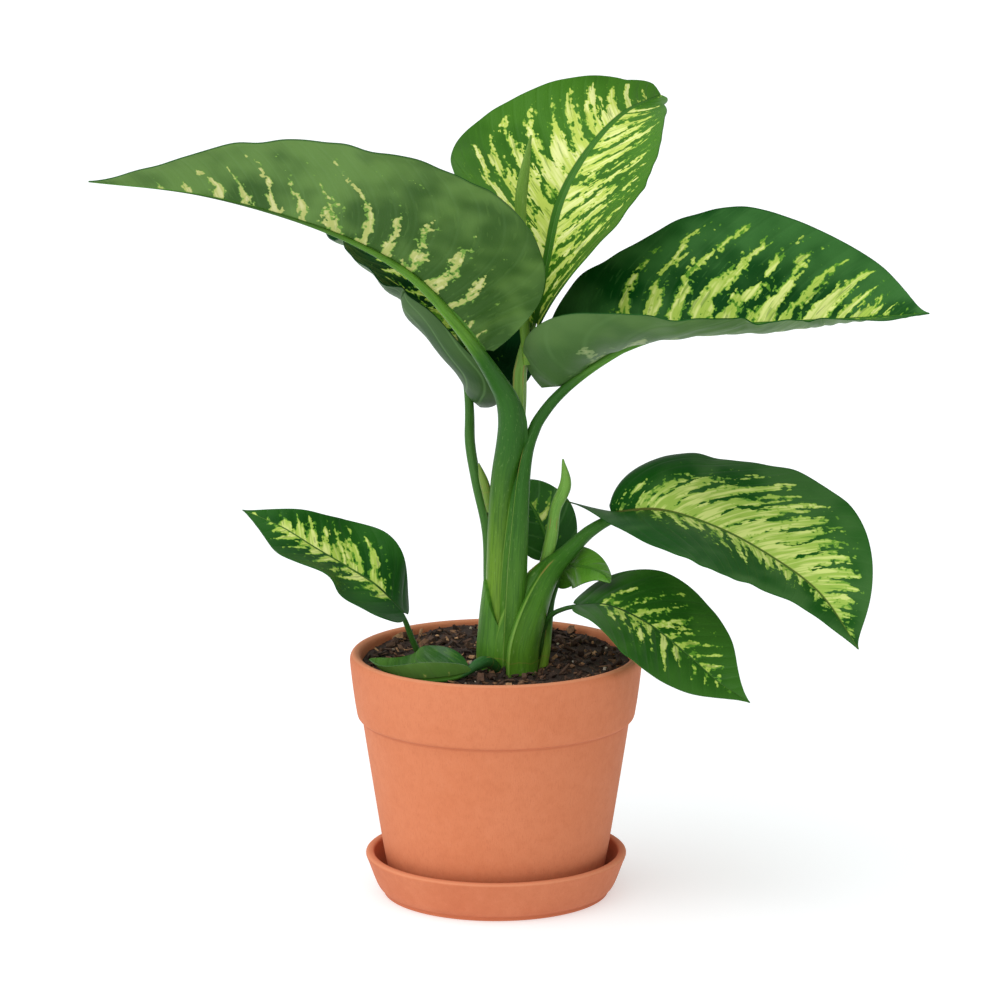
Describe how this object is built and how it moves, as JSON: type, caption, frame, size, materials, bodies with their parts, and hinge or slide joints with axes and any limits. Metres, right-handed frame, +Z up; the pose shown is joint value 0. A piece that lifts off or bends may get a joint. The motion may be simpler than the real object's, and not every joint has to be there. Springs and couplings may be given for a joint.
{
  "type": "potted dieffenbachia",
  "caption": "Leafy variegated foliage plant with sheathed stems, growing in soil in a tapered, rimmed clay pot that stands on a round clay saucer.",
  "frame": {"origin": "centre of the flat underside of the saucer, on the axis of the pot", "axes": "+Z up along the axis of the pot, +X to the right and +Y away from the viewer in the picture"},
  "size_m": [0.4627, 0.2781, 0.461],
  "materials": {
    "pot_clay": "unglazed fired clay, matt, faint throwing rings",
    "saucer_clay": "unglazed fired clay, matt",
    "potting_soil": "loose bark and peat compost, rough",
    "cane_green": "smooth green plant stem, satin",
    "leaf_green": "smooth waxy leaf with cream-green blotches along the veins, satin",
    "young_leaf": "rolled young leaf, smooth, satin"
  },
  "bodies": {
    "root": {"saucer": "saucer_clay", "pot": "pot_clay", "soil": "potting_soil", "cane": "cane_green", "leaf_right_low": "leaf_green", "leaf_right": "leaf_green", "leaf_left": "leaf_green", "leaf_back_left": "leaf_green", "leaf_top": "leaf_green", "leaf_right_small": "leaf_green", "leaf_curled": "leaf_green", "leaf_back": "leaf_green", "leaf_left_small": "leaf_green", "leaf_on_soil": "leaf_green", "rolled_leaf_top": "young_leaf", "rolled_leaf_low": "young_leaf"}
  },
  "joints": []
}
